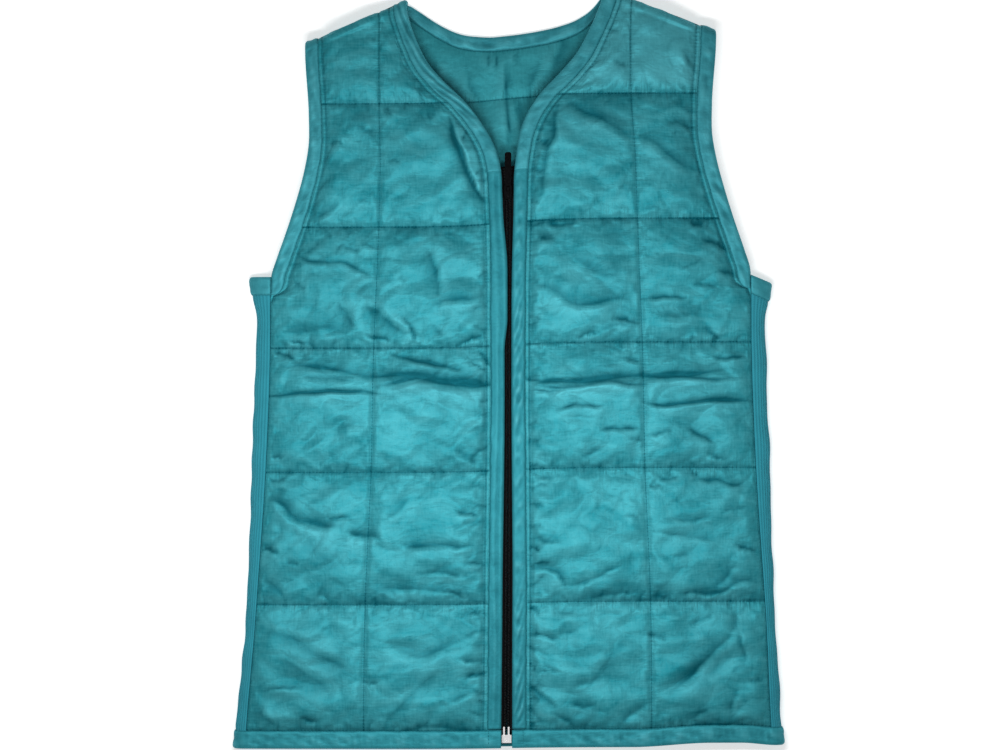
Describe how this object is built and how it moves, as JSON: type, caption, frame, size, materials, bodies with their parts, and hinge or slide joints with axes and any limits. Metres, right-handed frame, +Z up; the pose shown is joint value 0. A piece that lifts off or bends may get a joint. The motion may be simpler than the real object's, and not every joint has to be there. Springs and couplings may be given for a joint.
{
  "type": "weighted vest",
  "caption": "Sleeveless zip-front vest of teal quilted cloth with padded weighted cells, folded cloth bindings and ribbed knit sides, lying flat on its back.",
  "frame": {"origin": "on the floor under the middle of the bounding box of the vest as it lies on its back", "axes": "+X towards the wearer's left, +Y from the hem to the neck, +Z up from the floor out of the front"},
  "size_m": [0.4636, 0.6372, 0.0266],
  "materials": {
    "quilt": "smooth woven cloth with a slight sheen",
    "binding": "smooth woven cloth, folded and topstitched",
    "rib": "matte rib knit",
    "zip_tape": "black woven tape",
    "zip_coil": "black nylon coil",
    "slider": "dark lacquered metal",
    "fitting": "bright metal"
  },
  "bodies": {
    "vest": {"right_front_panel": "quilt", "left_front_panel": "quilt", "back_panel": "quilt", "right_side_panel": "rib", "left_side_panel": "rib", "right_armhole_binding": "binding", "left_armhole_binding": "binding", "right_underarm_binding": "binding", "left_underarm_binding": "binding", "neck_binding": "binding", "right_front_band": "binding", "left_front_band": "binding", "hem_band": "binding", "right_zip_tape": "zip_tape", "left_zip_tape": "zip_tape", "right_zip_teeth": "zip_coil", "left_zip_teeth": "zip_coil", "zip_slider": "slider", "zip_retainer": "fitting", "zip_insert_pin": "fitting"},
    "zip_pull": {"zip_pull": "slider"}
  },
  "joints": [
    {"name": "pull_hinge", "type": "hinge", "parent": "vest", "child": "zip_pull", "pos_m": [0, 0.1493, 0.02245], "axis": [1, 0, 0], "range_deg": [0, 165]}
  ]
}
